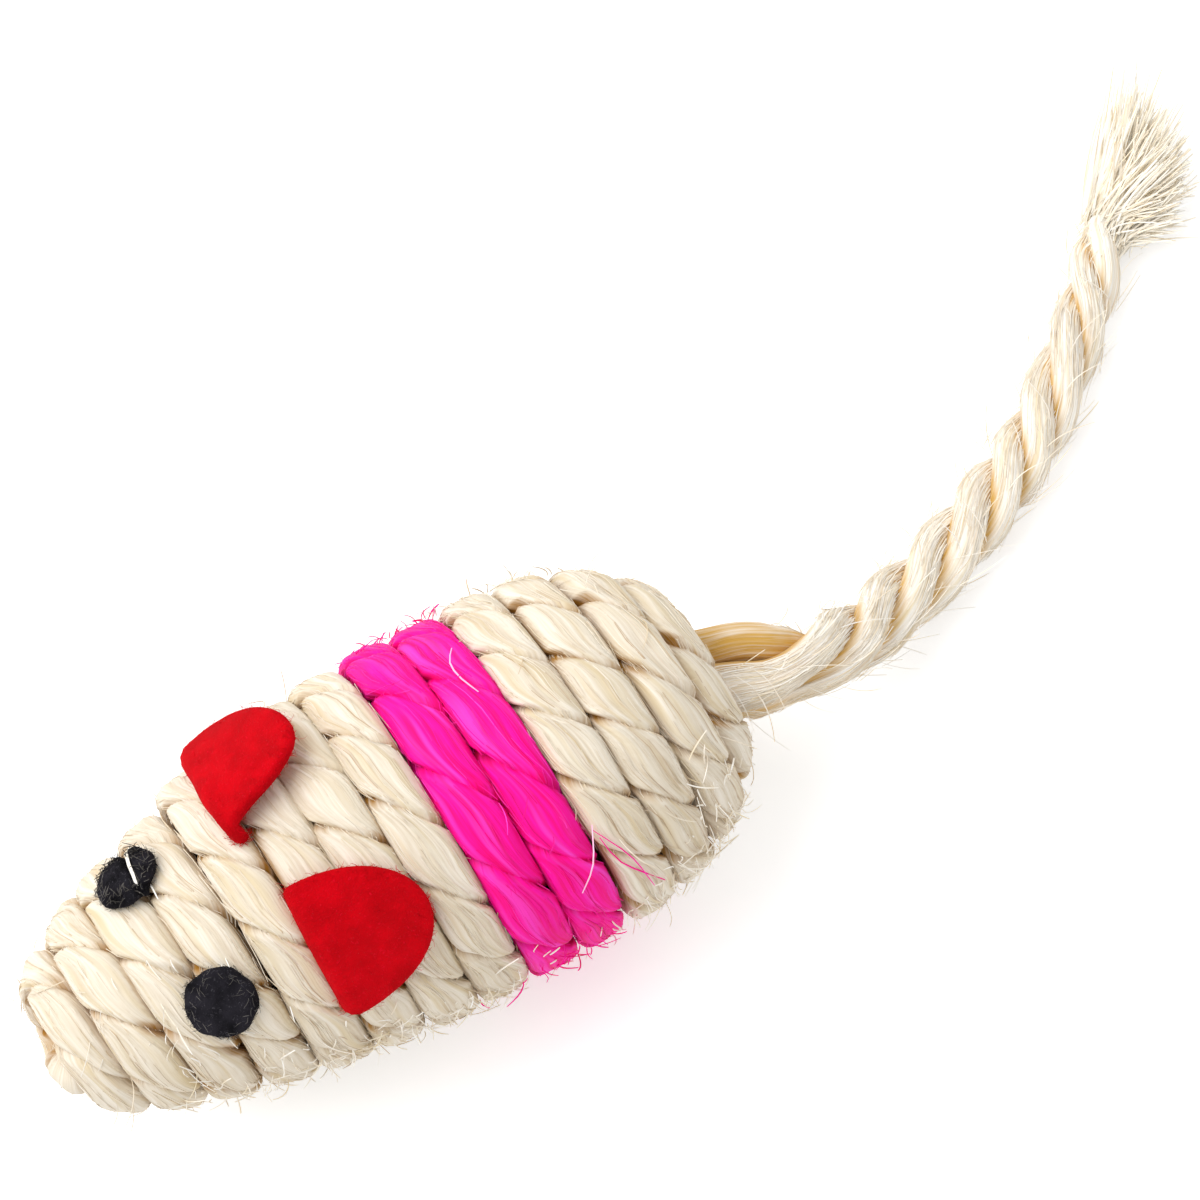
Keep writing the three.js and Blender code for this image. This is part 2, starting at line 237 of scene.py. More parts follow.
def skin_lines(rings, depth, turning, step, rng, count, reach, lift=0.04, rise=0.25, shallow=0.55):
    """Lines of single fibres on strands: each starts at a random place that isn't deep, lies as the
    turning takes it with a slight drift, and stands off by lift, and by about rise more at its ends.
    Of the tries, the first count that fit and lie more than 1.2 mm over the floor are kept."""
    normal = unit(np.cross(np.roll(rings, -1, 2) - np.roll(rings, 1, 2), np.gradient(rings, axis=1)))
    tries = 12 * count
    which, row, column = (rng.integers(0, n, tries) for n in depth.shape)
    length = rng.uniform(*reach, tries) / step
    fits = (row + length < depth.shape[1] - 1) & (depth[which, row, column] < shallow)
    fits &= rings[which, row, column, 2] > 1.2
    which, row, column, length = (v[fits][:count, None] for v in (which, row, column, length))
    t = np.linspace(0, 1, 7)
    rows = row + length * t
    i = np.floor(rows).astype(int)
    turned = turning[which, i] + (rows - i) * (turning[which, i + 1] - turning[which, i])
    turned -= turning[which, row]
    drift = rng.normal(0, 1.1, column.shape) * t
    columns = column + drift + turned * depth.shape[2] / (2 * np.pi)
    j = np.floor(columns).astype(int)
    f, g = (rows - i)[..., None], (columns - j)[..., None]
    j, k = j % depth.shape[2], (j + 1) % depth.shape[2]
    place, out = (
        (1 - f) * ((1 - g) * v[which, i, j] + g * v[which, i, k])
        + f * ((1 - g) * v[which, i + 1, j] + g * v[which, i + 1, k])
        for v in (rings, normal)
    )
    ends = rng.exponential(rise, (len(rows), 2))
    high = lift + ends[:, :1] * (1 - t) ** 6 + ends[:, 1:] * t**6
    return place + high[..., None] * out


def curls(starts, along_way, out, rng, length, rise):
    """Lines of loose fibres: each leaves its start along the way it lay, stands off the skin by a
    random height about rise and bends to one side. A line is start + long (t leaving + t^2 turned) /
    1.25, with a random sway in leaving and a random bend in turned."""
    count = len(starts)
    t = np.linspace(0, 1, 7)[None, :, None]
    long = rng.uniform(*length, (count, 1, 1))
    high = rng.exponential(rise, (count, 1, 1))
    side = np.cross(along_way, out)[:, None]
    sway = rng.normal(0, 0.3, (count, 1, 1))
    bend = rng.normal(0, 0.45, (count, 1, 1))
    leaving = along_way[:, None] + sway * side + (0.3 + high) * out[:, None]
    turned = -0.6 * high * out[:, None] + bend * side
    return starts[:, None] + long * (t * leaving + t**2 * turned) / 1.25


def fibres(name, lines, material, rng, radius=0.07, deep=0.35):
    """Single hard fibres as closed three-sided tubes round lines shaped (fibres, points, 3), each with
    its own shade. The radius goes with the root of a half sine wave, so the ends are thin, and no
    line goes under the floor."""
    floor_clearance = 0.12
    lines = np.maximum(lines, (-np.inf, -np.inf, floor_clearance))
    count, points = lines.shape[:2]
    tangent = unit(np.gradient(lines, axis=1))
    aside = unit(np.cross(tangent, (0.31, 0.59, 0.745)))
    above = np.cross(tangent, aside)
    taper = 0.35 + 0.65 * np.sin(np.pi * np.linspace(0.06, 0.94, points)) ** 0.5
    thick = radius * rng.uniform(0.65, 1.3, (count, 1)) * taper
    angle = np.array([0, 2, 4]) * np.pi / 3
    rings = (
        lines[:, :, None]
        + (thick[..., None] * np.cos(angle))[..., None] * aside[:, :, None]
        + (thick[..., None] * np.sin(angle))[..., None] * above[:, :, None]
    )
    fibre = np.empty(rings.shape)
    fibre[..., :2] = rng.uniform(-50, 50, (count, 1, 1, 2))
    fibre[..., 2] = 8 * np.linspace(0, 1, points)[:, None]
    depth = np.broadcast_to(deep * rng.random((count, 1, 1)) ** 3, rings.shape[:3])
    return tubes(name, rings, material, fibre=fibre, depth=depth)


def sisal(name, crest, flank, straw, pocket):
    """Twisted sisal, dull and stiff: hard fibres 0.2 mm wide, laid along the strand in slightly
    different creams, with straw-coloured ones among them. The depth attribute mixes in the pocket
    colour: on strands that is a painted amber shade where the fibres shade each other, on single
    fibres a darker tone of their own. The fine pattern has 4.2 cells to a millimetre across and 0.13
    along, the broad one 1.7 and 0.07."""
    material = bpy.data.materials.new(name)
    material.use_nodes = True
    tree = material.node_tree
    surface = tree.nodes["Principled BSDF"]
    fibre = add(tree, "ShaderNodeAttribute", attribute_name="fibre").outputs["Vector"]
    depth = add(tree, "ShaderNodeAttribute", attribute_name="depth").outputs["Fac"]
    fine_place = add(
        tree, "ShaderNodeVectorMath", {0: fibre, 1: (4.2, 4.2, 0.13)}, operation="MULTIPLY").outputs[0]
    fine = add(tree, "ShaderNodeTexNoise", {
        "Vector": fine_place, "Scale": 1.0, "Detail": 3.0, "Roughness": 0.65}).outputs[0]
    broad_place = add(
        tree, "ShaderNodeVectorMath", {0: fibre, 1: (1.7, 1.7, 0.07)}, operation="MULTIPLY").outputs[0]
    broad = add(tree, "ShaderNodeTexNoise", {"Vector": broad_place, "Scale": 1.0, "Detail": 1.0}).outputs[0]
    fine_share = add(tree, "ShaderNodeMapRange", {0: fine, 1: 0.33, 2: 0.64}).outputs[0]
    broad_share = add(tree, "ShaderNodeMapRange", {0: broad, 1: 0.5, 2: 0.85}).outputs[0]
    cream = add(tree, "ShaderNodeMix", {
        0: fine_share, 6: linear(flank), 7: linear(crest)}, data_type="RGBA").outputs[2]
    mixed = add(tree, "ShaderNodeMix", {
        0: broad_share, 6: cream, 7: linear(straw)}, data_type="RGBA").outputs[2]
    # Painted shade: the colour goes to the pocket colour as far as the depth attribute says, more where the
    # fine fibres are dark.
    streaks = add(tree, "ShaderNodeMapRange", {0: fine_share, 3: 1.15, 4: 0.6}).outputs[0]
    deep = add(tree, "ShaderNodeMath", {0: depth, 1: streaks}, operation="MULTIPLY", use_clamp=True)
    shaded = add(tree, "ShaderNodeMix", {
        0: deep.outputs[0], 6: mixed, 7: linear(pocket)}, data_type="RGBA")
    bump = add(tree, "ShaderNodeBump", {"Height": fine, "Strength": 0.8, "Distance": 0.00018})
    tree.links.new(shaded.outputs[2], surface.inputs["Base Color"])
    tree.links.new(bump.outputs[0], surface.inputs["Normal"])
    surface.inputs["Roughness"].default_value = 0.6
    surface.inputs["Specular IOR Level"].default_value = 0.14
    return material


loose_sisal = sisal("loose sisal", "#FFFDF8", "#F0E6D4", "#E6D3A6", "#D2A552")

tail_exit = (0.025197, 0.0, 0.0167)
tail_route = [
    (0.0026, -0.0005, 0.0166), (0.0056, -0.0017, 0.0159), (0.0089, -0.0025, 0.0141),
    (0.0125, -0.0023, 0.0113), (0.0161, -0.0014, 0.0083), (0.0199, -0.0002, 0.0058),
    (0.0238, 0.001, 0.004), (0.0277, 0.0023, 0.0033), (0.0318, 0.0039, 0.00312),
    (0.0361, 0.0058, 0.00312), (0.0404, 0.0081, 0.00312), (0.0445, 0.0108, 0.00312),
    (0.0483, 0.0138, 0.00312), (0.0519, 0.0168, 0.00312), (0.0551, 0.02, 0.00312),
    (0.0578, 0.023, 0.00312), (0.0597, 0.0252, 0.00312),
]
tail_points = [tail_exit] + [(tail_exit[0] + x, y, z) for x, y, z in tail_route]
socket_point = (0.0205, 0.0004, 0.0167)
socket_way = 4.7
laid_step = 0.35
laid_line = along([socket_point] + tail_points, laid_step * MM) / MM
laid_way = laid_step * np.arange(len(laid_line)) - socket_way

# The lay as the photograph shows it: the turn in degrees at each groove's way from the exit, and how
# thick the cord is there against a fresh one.
groove_way = [-6.0, 1.5, 12.3, 22.3, 31.0, 38.6, 44.6, 50.9, 59.7, 66.0, 72.3]
groove_turn = [-190, -79, 41, 166, 289, 410, 531, 653, 774, 896, 1017]
size_way = [0, 10, 35, 50, 62, 68.5, 71, 72.3]
size_there = [1.04, 1.08, 1.04, 0.99, 0.88, 0.84, 0.7, 0.3]
turn_nearby = [np.interp(laid_way + away, groove_way, groove_turn) for away in range(-3, 4)]
laid_turn = np.radians(np.mean(turn_nearby, axis=0))
size = np.interp(laid_way, size_way, size_there)
cord_radius, strand_radius, strand_offset, lying_height = 3.2, 1.72, 1.55, 3.12
laid_line[:, 2] -= smooth((laid_way - 18) / 12) * (lying_height - cord_radius * size)
tangent = unit(np.gradient(laid_line, axis=0))
level = unit(np.cross((0, 0, 1), tangent))
upward = np.cross(tangent, level)

# At the root the strands lie apart: each has its place to the side and upwards, its size, how far it
# bulges where the cord is slack, and its painted amber shade. From 7.5 mm on they are laid round each other.
root_strands = np.array([
    (-1.9, 1.0, 1.65, 0.8, 0.2),
    (2.85, -0.6, 1.2, 0.0, 0.68),
    (-4.0, -0.9, 1.1, 2.1, 0.75),
])
laid = smooth((laid_way + 3) / 10.5)
slack = np.exp(-(((laid_way - 4.2) / 3.2) ** 2))
turning = -0.02 * laid_way
skins = []
rng = np.random.default_rng(11)
for k, (root_aside, root_over, root_size, bulge, _) in enumerate(root_strands):
    phase = laid_turn + 2 * np.pi * k / 3
    aside = (1 - laid) * root_aside + laid * strand_offset * size * np.sin(phase) - bulge * slack
    over = (1 - laid) * root_over + laid * strand_offset * size * np.cos(phase)
    thick = strand_radius * ((1 - laid) * root_size + laid * size)
    centre = laid_line + aside[:, None] * level + over[:, None] * upward
    skins.append(strand(centre, level, upward, thick, thick, turning, rng, laid_step))
rings, fibre, depth = (np.stack(part) for part in zip(*skins))
from_line = rings - laid_line[:, None]
sideways = np.einsum("krcx,rx->krc", from_line, level) / (1 + 0.75 * (1 - laid))[:, None]
height = np.einsum("krcx,rx->krc", from_line, upward)
# Painted shade: the colour goes amber where a strand's skin lies inside the cord's round, between the
# strands, and on the root strands where they part and where the cord is slack.
hollow = cord_radius * size[:, None] - np.hypot(sideways, height)
amber = root_strands[:, 4, None, None] * np.maximum(1 - laid, 0.9 * slack)[:, None]
depth = np.clip(0.3 * depth + smooth(hollow - 0.2) + amber, 0, 1)
tail_cord = tubes("tail_cord", rings, loose_sisal, fibre=fibre, depth=depth)
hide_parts("tail", "tail_root")
turning = np.stack([turning] * 3)
lying = skin_lines(rings, depth, turning, laid_step, rng, 1500, (5, 13), rise=0.15)
roots = skin_lines(rings, depth, turning, laid_step, rng, 200, (1, 2))
nearest = np.argmin(np.linalg.norm(roots[:, :1] - laid_line, axis=2), axis=1)
off = unit(roots[:, 0] - laid_line[nearest])
loose = curls(roots[:, 0], unit(roots[:, -1] - roots[:, 0]), off, rng, (2, 6), 0.25)
cord_fibres = fibres("tail_fibres", np.concatenate([lying, loose]), loose_sisal, rng, radius=0.05)
for piece in (tail_cord, cord_fibres):
    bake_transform(piece)


# Brush: the three strands' ends untwisted to locks of loose fibres, cut 5 to 15 mm long, which fan
# out to the side and lie on each other. A lock has a bearing from +X, a tilt and a length.
def fan_out(bearing, tilt):
    """Directions at a bearing and a tilt in radians: (cos b cos t, sin b cos t, sin t)."""
    return np.stack([np.cos(bearing) * np.cos(tilt), np.sin(bearing) * np.cos(tilt), np.sin(tilt)], axis=-1)


def over_the_floor(points):
    """Points whose heights z under 0.4 mm are eased to 0.4 exp(z / 0.4 - 1), which stays over zero."""
    ease = 0.4
    low = points[..., 2]
    points[..., 2] = np.where(low < ease, ease * np.exp(np.minimum(low / ease - 1, 0)), low)
    return points


# The brush's sisal is the tail's, painted lighter: the whiter colour stands in for the light that passes
# through and between its thin fibres.
lightened_brush_sisal = sisal("lightened brush sisal", "#FFFEF8", "#FBF1E0", "#F0DAAC", "#DDB067")
brush_start = laid_line[-3] + (1.2, 0.5, 0)
t = np.linspace(0, 1, 22)[:, None]
locks = []
for bearing, tilt, long in ((43, 5, 12.6), (20, 10, 9.2), (-4, 3, 6.6)):
    fan = fan_out(*np.radians((bearing, tilt)))
    bow = t * (1 - t) * tangent[-1] + t * (0.35 + 0.65 * t) * fan
    centre = brush_start - 2.0 * tangent[-1] + long * bow
    forward = unit(np.gradient(centre, axis=0))
    across = unit(np.cross((0, 0, 1), forward))
    broad = np.interp(t[:, 0], [0, 0.25, 0.75, 1], [1.1, 1.9, 2.7, 1.5])
    flat = np.interp(t[:, 0], [0, 0.3, 0.8, 1], [1.1, 1.6, 1.4, 0.3])
    over = np.cross(forward, across)
    locks.append(strand(centre, across, over, broad, flat, 0 * broad, rng, 0.5, ridge=0.1))
rings, fibre, depth = (np.stack(part) for part in zip(*locks))
lock_cores = tubes("tail_brush_locks", rings, lightened_brush_sisal, fibre=fibre, depth=0.2 * depth)
hairs = 1000
lock = rng.integers(0, 3, hairs)
bearing = np.minimum(np.array([44, 21, -3])[lock] + rng.normal(0, 7.5, hairs), 52)
tilt = np.radians(np.array([5, 10, 3])[lock] + rng.normal(0, 7, hairs))
long = np.interp(bearing, [-20, -5, 15, 50], [6.0, 6.8, 9.9, 15.2]) * (1.04 - 0.3 * rng.random(hairs) ** 2)
fan = fan_out(np.radians(bearing), tilt)
curl = rng.normal(0, 0.05, (hairs, 3))
t = np.linspace(0, 1, 9)[None, :, None]
leaving = unit(tangent[-1] + 0.1 * rng.normal(0, 1, (hairs, 3)))
starts = brush_start + rng.normal(0, (1.0, 1.0, 0.7), (hairs, 3))
starts -= (0.5, 0.4, 0) + rng.uniform(0.2, 4.0, (hairs, 1)) * tangent[-1]
bow = t * (1 - t) * leaving[:, None] + t * (0.35 + 0.65 * t) * fan[:, None] + t**2 * curl[:, None]
lines = over_the_floor(starts[:, None] + long[:, None, None] * bow)
brush = fibres("tail_brush", lines, lightened_brush_sisal, rng, radius=0.1, deep=0.1)
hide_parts("tail_tuft")
for piece in (brush, lock_cores):
    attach(piece, "tail")


# Windings: two-ply sisal twine, 4.8 mm thick, wound turn by turn over the core and glued, with the
# two widest turns dyed pink. Pressed turns are flat at their sides, so little shows between them.

# The turns' centre lines follow a profile whose radius is R (1 - s^p)^q, s being the share of the
# reach to the nose or the rear.
turns_radius, nose_reach, rear_reach = 14.8, 44.7, 24.1
turn_pitch = 5.15
twine_radius = 2.4
axis_height = 16.7
profile_share = np.linspace(-1, 1, 801)
curve = np.sin(np.abs(profile_share) * np.pi / 2)
nose_side = profile_share < 0
profile_x = np.sign(profile_share) * curve * np.where(nose_side, nose_reach, rear_reach)
profile_r = turns_radius * (1 - curve ** np.where(nose_side, 2.2, 3.0)) ** np.where(nose_side, 0.43, 0.46)
profile_way = np.concatenate([[0], np.cumsum(np.hypot(np.diff(profile_x), np.diff(profile_r)))])
profile_way -= profile_way[len(profile_way) // 2]
profile_normal = unit(np.stack([-np.gradient(profile_r), np.gradient(profile_x)], axis=1))


def on_the_body(way, angle, lift=0.0):
    """A place over the centre lines of the turns: the profile's station and radius at a way along
    it, carried round the body's axis to an angle from the belly, and lifted along the normal. The
    nose is wound up to 7% tighter and 1 mm to the near side, as slim goes to one."""
    x, r = np.interp(way, profile_way, profile_x), np.interp(way, profile_way, profile_r)
    nx, nr = (np.interp(way, profile_way, profile_normal[:, k]) for k in (0, 1))
    slim = smooth((-19.0 - way) / 14)
    r = r * (1 - 0.07 * slim)
    radial = np.stack([0 * angle, np.sin(angle), -np.cos(angle)], axis=-1)
    normal = unit(radial * nr[..., None] + np.stack([nx, 0 * nx, 0 * nx], axis=-1))
    point = radial * r[..., None] + np.stack([x, -slim, 0 * x + axis_height], axis=-1)
    return point + lift * normal, normal


ear_slit_x = -20.3
twine_step = 0.54


def twine(first, last, lay, rng, step=twine_step):
    """Two plies round a helix on the body. Each stands off the helix at an angle that turns once a
    lay, unevenly, and its fibres keep to the twine's way. A ply is an ellipse of the half axes a and
    b, c off the helix, and seen from there it has the radius
    r = (c cos/a^2 + sqrt((c cos/a^2)^2 - k (c^2/a^2 - 1))) / k, k = cos^2/a^2 + sin^2/b^2;
    away from the seam between the plies that is pressed out to 2.45 over the 3.7-norm of the
    angle's cosine and sine, the sine taken over 1.045. A painted shade deepens the colour in the
    slit between turns, more at the nose, in places along the seam, most in the pit where the seam
    meets the slit, and in the slit that gapes where the ears are tucked in; in the slit, seam and
    pit its strength varies at random along the twine."""
    turns = np.linspace(first, last, int(90 * (last - first)))
    line, _ = on_the_body(turns * turn_pitch, turns * 2 * np.pi)
    way = np.concatenate([[0], np.cumsum(np.linalg.norm(np.diff(line, axis=0), axis=1))])
    marks = np.arange(0, way[-1], step)
    turns = np.interp(marks, way, turns)
    line, normal = on_the_body(turns * turn_pitch, turns * 2 * np.pi)
    tangent = unit(np.gradient(line, axis=0))
    side = np.cross(normal, tangent)
    wander = fibre_heights(len(marks), 3, int(14 / step), rng)
    line = line + 0.1 * wander[:, :1] * normal + 0.12 * wander[:, 1:2] * side
    whole = 0.3 + 0.7 * smooth(np.minimum(marks, marks[-1] - marks) / 3.5)
    line -= (1.5 * (1 - whole))[:, None] * normal
    a, b, c = 1.6, 2.4, 0.8
    skins = []
    for k in range(2):
        lie = 2 * np.pi * marks / lay + 0.35 * wander[:, 2] + np.pi * k - 0.6
        out = np.cos(lie)[:, None] * normal + np.sin(lie)[:, None] * side
        round_ = np.cos(lie)[:, None] * side - np.sin(lie)[:, None] * normal
        thick = whole * (1 + 0.04 * fibre_heights(len(marks), 1, int(16 / step), rng)[:, 0])
        centre = line + (c * thick)[:, None] * out
        rings, fibre, deep = strand(centre, round_, out, b * thick, a * thick, lie, rng, step)
        from_line = rings - line[:, None]
        clear = np.einsum("rcx,rx->rc", from_line, out)
        far = np.maximum(np.linalg.norm(from_line, axis=2), 1e-6)
        cosine = clear / far
        bend = cosine**2 / a**2 + (1 - cosine**2) / b**2
        lean = c * cosine / a**2
        ellipse = (lean + np.sqrt(lean**2 + bend * (1 - c**2 / a**2))) / bend
        high = np.einsum("rcx,rx->rc", from_line, normal) / far
        wide = np.einsum("rcx,rx->rc", from_line, side) / far
        pressed = 2.45 * (np.abs(high) ** 3.7 + np.abs(wide / 1.045) ** 3.7) ** (-1 / 3.7)
        push = smooth(clear / 0.75) * (pressed - ellipse) * thick[:, None]
        skins.append((rings + (push / far)[..., None] * from_line, fibre, deep, clear, lie))
    rings, fibre, depth, clear, turning = (np.stack(part) for part in zip(*skins))
    from_line = rings - line[:, None]
    high = np.einsum("krcx,rx->krc", from_line, normal)
    wide = np.einsum("krcx,rx->krc", from_line, side)
    # Painted shade, from here to the depth: in the slit between turns, along the seam, in the pit and in the
    # gape at the ears.
    patchy = fibre_heights(len(marks), 1, int(11 / step), rng)[:, 0][:, None]
    nose = smooth((-4.0 - turns) / 2)[:, None]
    slit = np.clip(0.35 + 0.25 * nose + 0.3 * patchy, 0.1, 1) * smooth((1.85 - high) / 1.0)
    seam = smooth((0.4 - clear) / 0.4) * np.clip(0.2 - 0.15 * wide + 0.25 * patchy, 0, 1)
    pit = np.clip(0.55 + 0.5 * patchy, 0, 0.95)
    pit = smooth((1.1 - clear) / 0.8) * smooth((np.abs(wide) - 1.2) / 0.9) * pit
    at_the_ears = np.exp(-(((rings[..., 0] - ear_slit_x) / 0.8) ** 2)) * smooth((rings[..., 2] - 25) / 4)
    gape = at_the_ears * smooth((2.3 - high) / 0.8)
    depth = np.clip(0.2 * depth + slit + seam + pit + gape, 0, 1)
    return over_the_floor(rings), fibre, depth, turning


def stray(patches, rng, length, rise):
    """Lines of frayed fibres: every patch is a place (way, degrees from the back), its spread both
    ways and a count; the fibres leave the twine's skin there along its turns, one way or the other."""
    place = np.concatenate([
        np.array([way, degrees]) + rng.normal(0, 1, (count, 2)) * (way_spread, degree_spread)
        for way, degrees, way_spread, degree_spread, count in patches])
    angle = np.radians(180 + place[:, 1])
    starts, out = on_the_body(place[:, 0], angle, 2.3)
    ahead, _ = on_the_body(place[:, 0], angle + 0.01, 2.3)
    return curls(starts, unit(ahead - starts) * rng.choice([-1, 1], (len(place), 1)), out, rng, length, rise)


def laid_hairs(hairs):
    """Lines of single hairs through places (way, degrees from the back, lift over the skin). A last
    place that is given twice ends the hair in a small hook."""
    lines = []
    for places in hairs:
        way, degrees, lift = np.array(places).T
        points, out = on_the_body(way, np.radians(180 + degrees), twine_radius)
        line = along(points + lift[:, None] * out, 0.05)
        lines.append(line[np.linspace(0, len(line) - 1, 7).astype(int)])
    return np.stack(lines)


rng = np.random.default_rng(5)
# The body's sisal is a darker, more beige copy of the tail's.
body_sisal = sisal("body sisal", "#EEE5D6", "#DACDB6", "#D7C399", "#A4742C")
dyed_sisal = sisal("pink dyed sisal", "#FF12AA", "#F50076", "#FF4AD0", "#A80038")
faded_sisal = sisal("faded pink sisal", "#FFD0EA", "#FF9CD4", "#FFB6E0", "#FF62B4")

# The two ears' and the two eyes' places. A loose fibre that started within 10 mm of one would come
# through its felt, so none does.
felt_way = np.array([-15.3, -15.3, -29.4, -31.5])
felt_angle = np.radians([211.0, 146.0, 209.9, 147.3])
felt_places, _ = on_the_body(felt_way, felt_angle, 3.0)

# Frayed patches and long single hairs, where the photograph shows them.
front_fray = [(-10, 84, 4, 7, 70), (-19, 80, 4, 8, 55), (-34, 50, 4, 30, 60), (-30, 80, 4, 10, 40)]
pink_fray = [(-1.5, -78, 2.0, 5, 16), (2.2, -80, 1.4, 4, 16), (0, 86, 2.5, 6, 24)]
rear_fray = [(15.5, 74, 2.5, 11, 60), (9, 84, 2.5, 7, 35), (17.5, 58, 1.5, 12, 30), (11, -78, 4, 5, 30)]
front_hairs = [[(-30.6, -29, 0.3), (-30.1, -23, 0.4), (-30.1, -16, 0.3)]]
pink_hairs = [
    [(6.3, 40.4, 0.2), (7.1, 51.2, 0.6), (10.2, 71.2, 0.3)],
    [(6.0, 36.9, 0.2), (8.0, 50.5, 0.8), (9.1, 68.9, 0.5)],
]
rear_hairs = [[(13.2, 85.7, 0.3), (14.5, 80, 0.9), (16.5, 74, 0.8)]]
faded_hairs = [
    [(3.1, -36.4, 0.3), (2.2, -29.9, 0.7), (2.2, -23.3, 0.8), (3.0, -16.3, 0.4), (3.0, -16.3, 0.4)],
    [(6.2, 35.5, 0.2), (4.8, 45.5, 0.9), (2.9, 53.6, 0.7), (2.9, 53.6, 0.7)],
]

# Each winding: its first and last turn from the widest one, its plies' lay in mm, its slot and
# sisals, how many fibres lie on it, and its fray and hairs.
natural = ("natural_twine", body_sisal, loose_sisal)
dyed = ("dyed_twine", dyed_sisal, dyed_sisal)
windings = (
    ("front_winding", -9.4, -1.0, 14.2, *natural, 3000, front_fray, front_hairs),
    ("pink_band", -1.0, 1.0, 17.0, *dyed, 900, pink_fray, pink_hairs),
    ("rear_winding", 1.0, 5.0, 14.2, *natural, 1700, rear_fray, rear_hairs),
)
for name, first, last, lay, slot, material, loose_material, count, fray, hairs in windings:
    rings, fibre, depth, turning = twine(first, last, lay, rng)
    piece = tubes(name + "_twine", rings, material, fibre=fibre, depth=depth)
    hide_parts(name)
    lines = skin_lines(rings, depth, turning, twine_step, rng, count, (5, 13), rise=0.1)
    roots = skin_lines(rings, depth, turning, twine_step, rng, count // 12, (1, 2))
    near_felt = np.linalg.norm(roots[:, :1] - felt_places, axis=2).min(axis=1) < 10
    roots = roots[~near_felt]
    outward = unit(roots[:, 0] * (0, 1, 1) - (0, 0, axis_height))
    loose = curls(roots[:, 0], unit(roots[:, -1] - roots[:, 0]), outward, rng, (1.5, 5), 0.3)
    frayed = stray(fray, rng, (1, 3.6), 0.25)
    lying = np.concatenate([lines, loose])
    lying = fibres(name + "_fibres", lying, material, rng, radius=0.05, deep=0.5)
    standing = np.concatenate([frayed, laid_hairs(hairs)])
    standing = fibres(name + "_hairs", standing, loose_material, rng, radius=0.07, deep=0.1)
    for made in (piece, lying, standing):
        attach(made, "mouse")
faded = fibres("pink_band_faded_hairs", laid_hairs(faded_hairs), faded_sisal, rng, radius=0.1, deep=0)
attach(faded, "mouse")


# Core: pressed paper pulp in the body's form, which the twine is wound over and the tail is glued
# into. It shows only round the tail and at the nose, dull and brown with fibre flecks of a millimetre.
core_pulp = bpy.data.materials.new("pressed paper pulp")
core_pulp.use_nodes = True
tree = core_pulp.node_tree
surface = tree.nodes["Principled BSDF"]
place = add(tree, "ShaderNodeTexCoord").outputs["Object"]
flecks = add(tree, "ShaderNodeTexNoise", {"Vector": place, "Scale": 900.0, "Detail": 4.0}).outputs[0]
share = add(tree, "ShaderNodeMapRange", {0: flecks, 1: 0.35, 2: 0.7}).outputs[0]
pulp = add(tree, "ShaderNodeMix", {0: share, 6: linear("#A88A5C"), 7: linear("#CDB48A")}, data_type="RGBA")
grain = add(tree, "ShaderNodeBump", {"Height": flecks, "Strength": 0.8, "Distance": 0.0002})
tree.links.new(pulp.outputs[2], surface.inputs["Base Color"])
tree.links.new(grain.outputs[0], surface.inputs["Normal"])
surface.inputs["Roughness"].default_value = 0.95
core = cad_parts["core"]
core.data.materials.clear()
core.data.materials.append(core_pulp)


# Ears: wool felt 1.3 mm thick, die-cut with one straight edge, which is tucked in the slit between
# two turns. The left one hugs the body, the right one was pushed towards the nose and pinched.
def on_the_skin(way, degrees, lift):
    """The frame of a place over the twine: its point, and the ways round, back and outward, which
    are across the normal, the rest of +X after the normal's share is taken off, and the normal."""
    point, outward = on_the_body(np.array(way), np.radians(180.0 + degrees), twine_radius + lift)
    back = unit(np.array([1.0, 0, 0]) - outward[0] * outward)
    return point, np.stack([np.cross(back, outward), back, outward])


def felt(name, dark, light, fleck):
    """Wool felt, matted and dull: fibres a few hundredths of a millimetre thick lie in all ways, so
    the colour is mottled at 2 mm, flecked at 0.4 mm and the edges catch light as a soft sheen."""
    material = bpy.data.materials.new(name)
    material.use_nodes = True
    tree = material.node_tree
    surface = tree.nodes["Principled BSDF"]
    place = add(tree, "ShaderNodeTexCoord").outputs["Object"]
    mottle = add(tree, "ShaderNodeTexNoise", {"Vector": place, "Scale": 420.0, "Detail": 3.0}).outputs[0]
    matted = add(tree, "ShaderNodeTexNoise", {
        "Vector": place, "Scale": 2600.0, "Detail": 3.0, "Distortion": 2.5}).outputs[0]
    mottle_share = add(tree, "ShaderNodeMapRange", {0: mottle, 1: 0.38, 2: 0.64}).outputs[0]
    fleck_share = add(tree, "ShaderNodeMapRange", {0: matted, 1: 0.6, 2: 0.8}).outputs[0]
    mottled = add(tree, "ShaderNodeMix", {
        0: mottle_share, 6: linear(dark), 7: linear(light)}, data_type="RGBA").outputs[2]
    mixed = add(tree, "ShaderNodeMix", {
        0: fleck_share, 6: mottled, 7: linear(fleck)}, data_type="RGBA")
    bump = add(tree, "ShaderNodeBump", {"Height": matted, "Strength": 0.9, "Distance": 0.00015})
    tree.links.new(mixed.outputs[2], surface.inputs["Base Color"])
    tree.links.new(bump.outputs[0], surface.inputs["Normal"])
    surface.inputs["Roughness"].default_value = 0.95
    surface.inputs["Specular IOR Level"].default_value = 0.08
    surface.inputs["Sheen Weight"].default_value = 0.02
    surface.inputs["Sheen Roughness"].default_value = 0.5
    surface.inputs["Sheen Tint"].default_value = linear(fleck)
    return material


